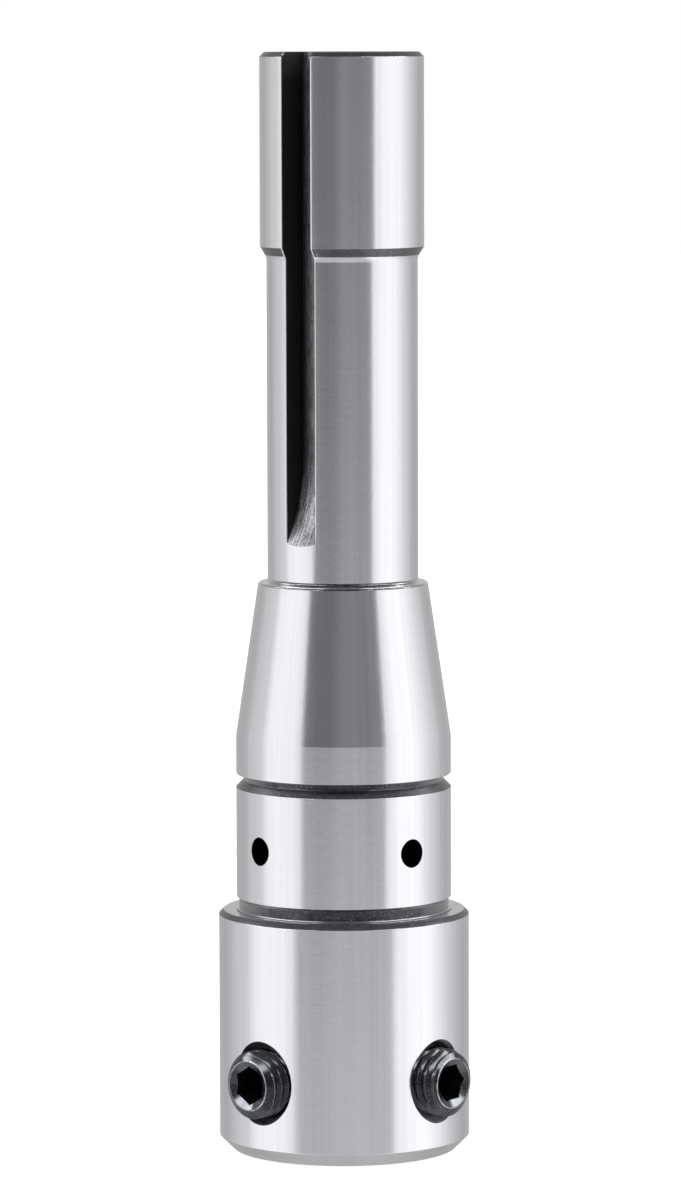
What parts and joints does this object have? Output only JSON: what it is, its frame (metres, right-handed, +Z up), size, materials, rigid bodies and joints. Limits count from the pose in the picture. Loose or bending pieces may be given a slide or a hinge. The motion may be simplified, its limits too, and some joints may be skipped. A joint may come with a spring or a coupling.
{
  "type": "annular cutter holder",
  "caption": "Milling spindle arbor with a tapered, keyed shank that holds a 19 mm shank annular cutter, clamped by side set screws, with radial coolant holes and a spring plunger.",
  "frame": {"origin": "centre of the nose face, at the mouth of the cutter socket", "axes": "+Z up the spindle axis from the nose to the drawbar end; the keyway faces -Y"},
  "size_m": [0.0401, 0.0401, 0.1619],
  "materials": {
    "ground_steel": "turned and ground",
    "black_oxide": "black oxide",
    "hardened_pin": "hardened and ground",
    "spring_wire": "drawn wire"
  },
  "bodies": {
    "holder": {"holder_body": "ground_steel", "retaining_ring": "black_oxide", "ejector_spring": "spring_wire"},
    "left_screw": {"left_set_screw": "black_oxide"},
    "right_screw": {"right_set_screw": "black_oxide"},
    "plunger": {"ejector_plunger": "hardened_pin"}
  },
  "joints": [
    {"name": "left_screw_travel", "type": "slide", "parent": "holder", "child": "left_screw", "axis": [-0.1219, -0.9925, 0], "range_m": [-0.0033, 0.003]},
    {"name": "right_screw_travel", "type": "slide", "parent": "holder", "child": "right_screw", "axis": [0.9925, -0.1219, 0], "range_m": [-0.0033, 0.003]},
    {"name": "plunger_travel", "type": "slide", "parent": "holder", "child": "plunger", "axis": [0, 0, 1], "range_m": [0, 0.024], "stiffness_N_per_m": 2600, "springref_m": -0.01, "deforming": ["ejector_spring"]}
  ]
}
